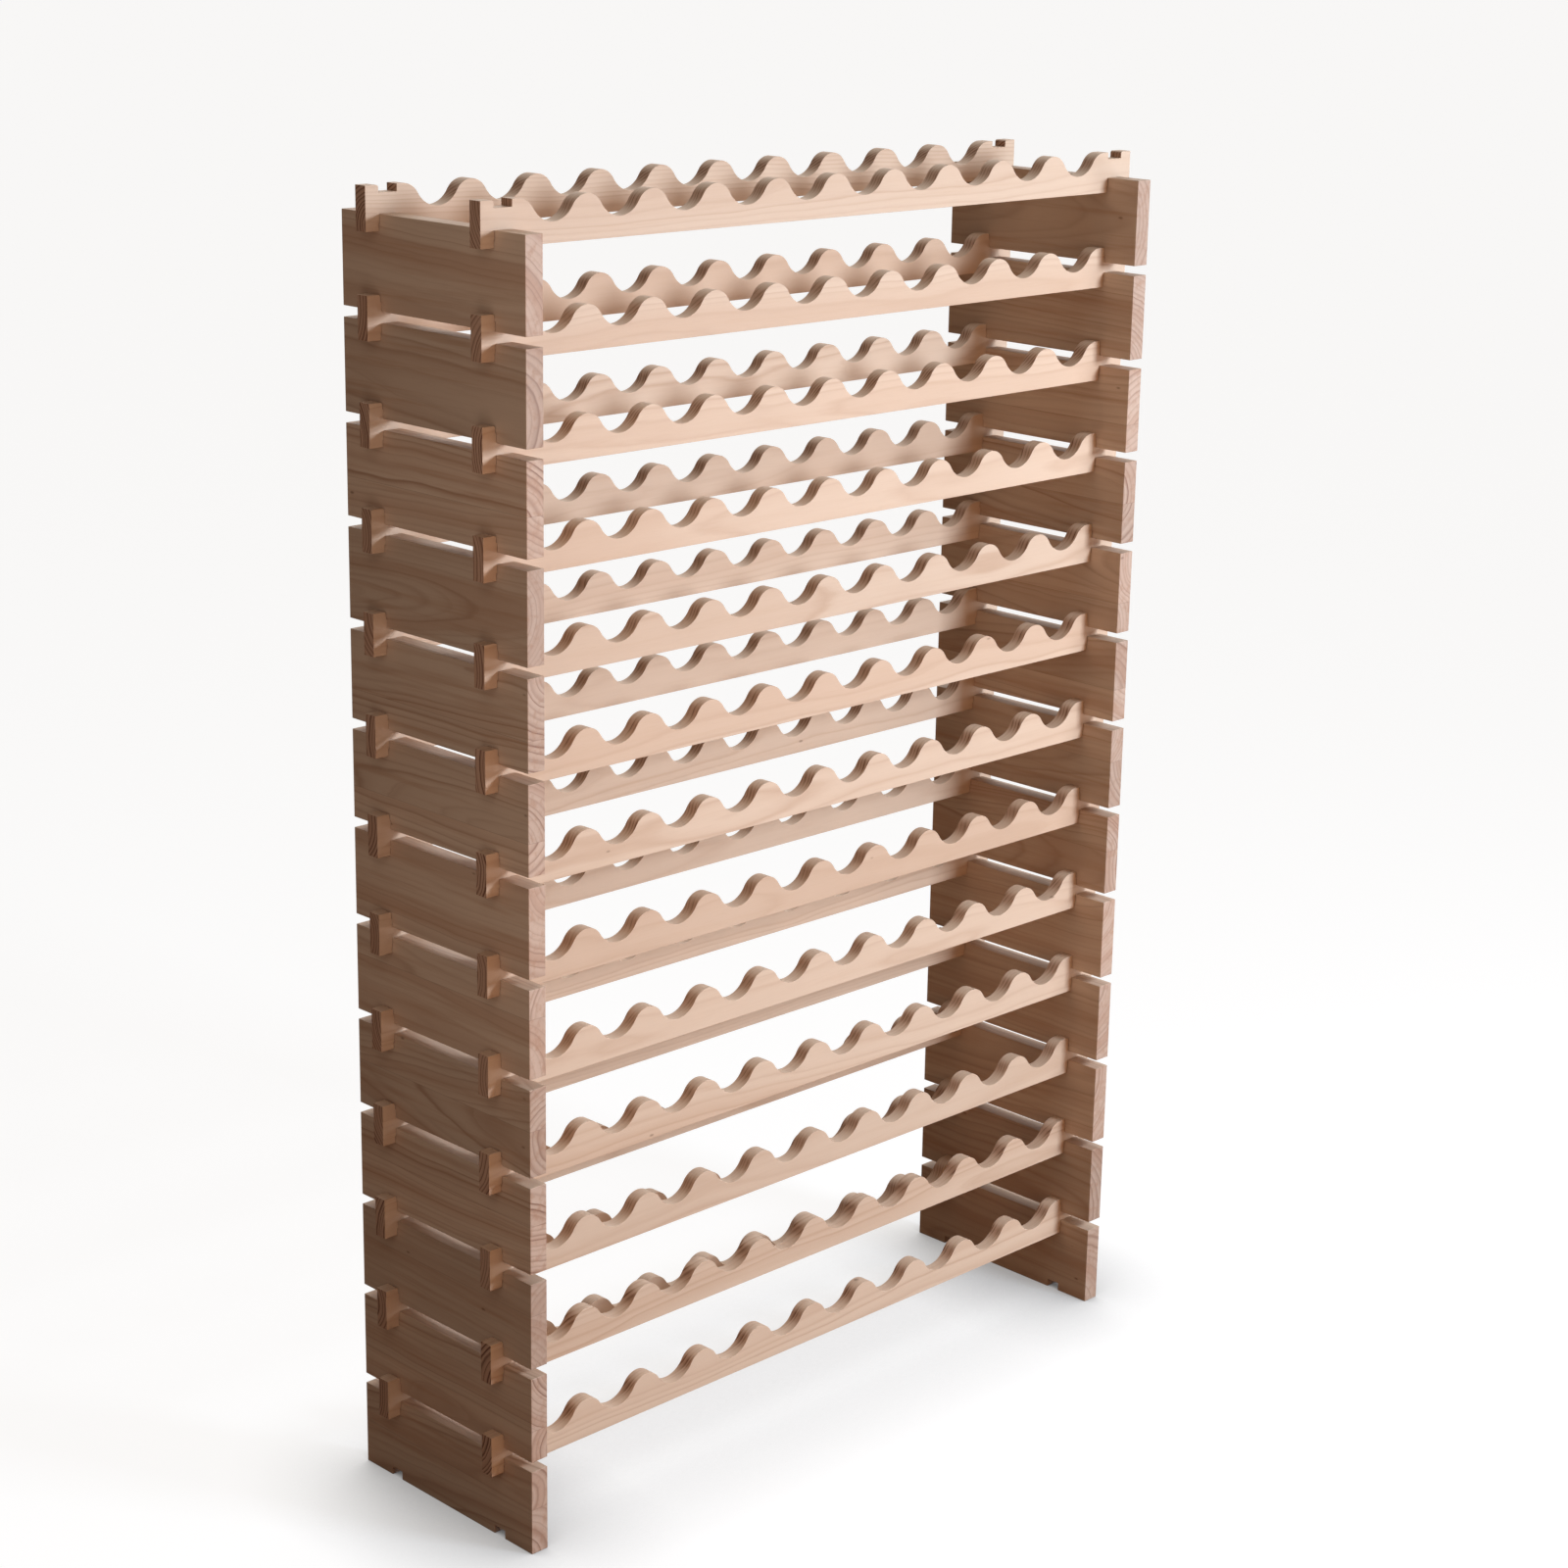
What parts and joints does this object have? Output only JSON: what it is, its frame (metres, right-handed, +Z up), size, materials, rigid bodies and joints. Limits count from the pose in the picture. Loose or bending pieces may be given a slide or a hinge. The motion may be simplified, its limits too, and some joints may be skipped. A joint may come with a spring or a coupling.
{
  "type": "wine rack",
  "caption": "Free-standing modular wooden wine rack: stacked side panels joined without fasteners by notched, scalloped rails that cradle bottles lying on their sides.",
  "frame": {"origin": "on the floor, under the middle of the rack's width and depth", "axes": "+X to the right along the rails, +Y from the front to the back, +Z up through the storeys"},
  "size_m": [1.02, 0.3, 1.5],
  "materials": {
    "panel_pine": "planed bare pine, edge-glued, matt",
    "rail_pine": "planed bare pine, matt"
  },
  "bodies": {
    "storey_01": {"left_panel_01": "panel_pine", "right_panel_01": "panel_pine", "front_rail_01": "rail_pine", "back_rail_01": "rail_pine"},
    "storey_02": {"left_panel_02": "panel_pine", "right_panel_02": "panel_pine", "front_rail_02": "rail_pine", "back_rail_02": "rail_pine"},
    "storey_03": {"left_panel_03": "panel_pine", "right_panel_03": "panel_pine", "front_rail_03": "rail_pine", "back_rail_03": "rail_pine"},
    "storey_04": {"left_panel_04": "panel_pine", "right_panel_04": "panel_pine", "front_rail_04": "rail_pine", "back_rail_04": "rail_pine"},
    "storey_05": {"left_panel_05": "panel_pine", "right_panel_05": "panel_pine", "front_rail_05": "rail_pine", "back_rail_05": "rail_pine"},
    "storey_06": {"left_panel_06": "panel_pine", "right_panel_06": "panel_pine", "front_rail_06": "rail_pine", "back_rail_06": "rail_pine"},
    "storey_07": {"left_panel_07": "panel_pine", "right_panel_07": "panel_pine", "front_rail_07": "rail_pine", "back_rail_07": "rail_pine"},
    "storey_08": {"left_panel_08": "panel_pine", "right_panel_08": "panel_pine", "front_rail_08": "rail_pine", "back_rail_08": "rail_pine"},
    "storey_09": {"left_panel_09": "panel_pine", "right_panel_09": "panel_pine", "front_rail_09": "rail_pine", "back_rail_09": "rail_pine"},
    "storey_10": {"left_panel_10": "panel_pine", "right_panel_10": "panel_pine", "front_rail_10": "rail_pine", "back_rail_10": "rail_pine"},
    "storey_11": {"left_panel_11": "panel_pine", "right_panel_11": "panel_pine", "front_rail_11": "rail_pine", "back_rail_11": "rail_pine"},
    "storey_12": {"left_panel_12": "panel_pine", "right_panel_12": "panel_pine", "front_rail_12": "rail_pine", "back_rail_12": "rail_pine"},
    "storey_13": {"left_panel_13": "panel_pine", "right_panel_13": "panel_pine", "front_rail_13": "rail_pine", "back_rail_13": "rail_pine"}
  },
  "joints": [
    {"name": "lift_02", "type": "slide", "parent": "storey_01", "child": "storey_02", "axis": [0, 0, 1], "range_m": [0, 0.04]},
    {"name": "lift_03", "type": "slide", "parent": "storey_02", "child": "storey_03", "axis": [0, 0, 1], "range_m": [0, 0.04]},
    {"name": "lift_04", "type": "slide", "parent": "storey_03", "child": "storey_04", "axis": [0, 0, 1], "range_m": [0, 0.04]},
    {"name": "lift_05", "type": "slide", "parent": "storey_04", "child": "storey_05", "axis": [0, 0, 1], "range_m": [0, 0.04]},
    {"name": "lift_06", "type": "slide", "parent": "storey_05", "child": "storey_06", "axis": [0, 0, 1], "range_m": [0, 0.04]},
    {"name": "lift_07", "type": "slide", "parent": "storey_06", "child": "storey_07", "axis": [0, 0, 1], "range_m": [0, 0.04]},
    {"name": "lift_08", "type": "slide", "parent": "storey_07", "child": "storey_08", "axis": [0, 0, 1], "range_m": [0, 0.04]},
    {"name": "lift_09", "type": "slide", "parent": "storey_08", "child": "storey_09", "axis": [0, 0, 1], "range_m": [0, 0.04]},
    {"name": "lift_10", "type": "slide", "parent": "storey_09", "child": "storey_10", "axis": [0, 0, 1], "range_m": [0, 0.04]},
    {"name": "lift_11", "type": "slide", "parent": "storey_10", "child": "storey_11", "axis": [0, 0, 1], "range_m": [0, 0.04]},
    {"name": "lift_12", "type": "slide", "parent": "storey_11", "child": "storey_12", "axis": [0, 0, 1], "range_m": [0, 0.04]},
    {"name": "lift_13", "type": "slide", "parent": "storey_12", "child": "storey_13", "axis": [0, 0, 1], "range_m": [0, 0.04]}
  ]
}
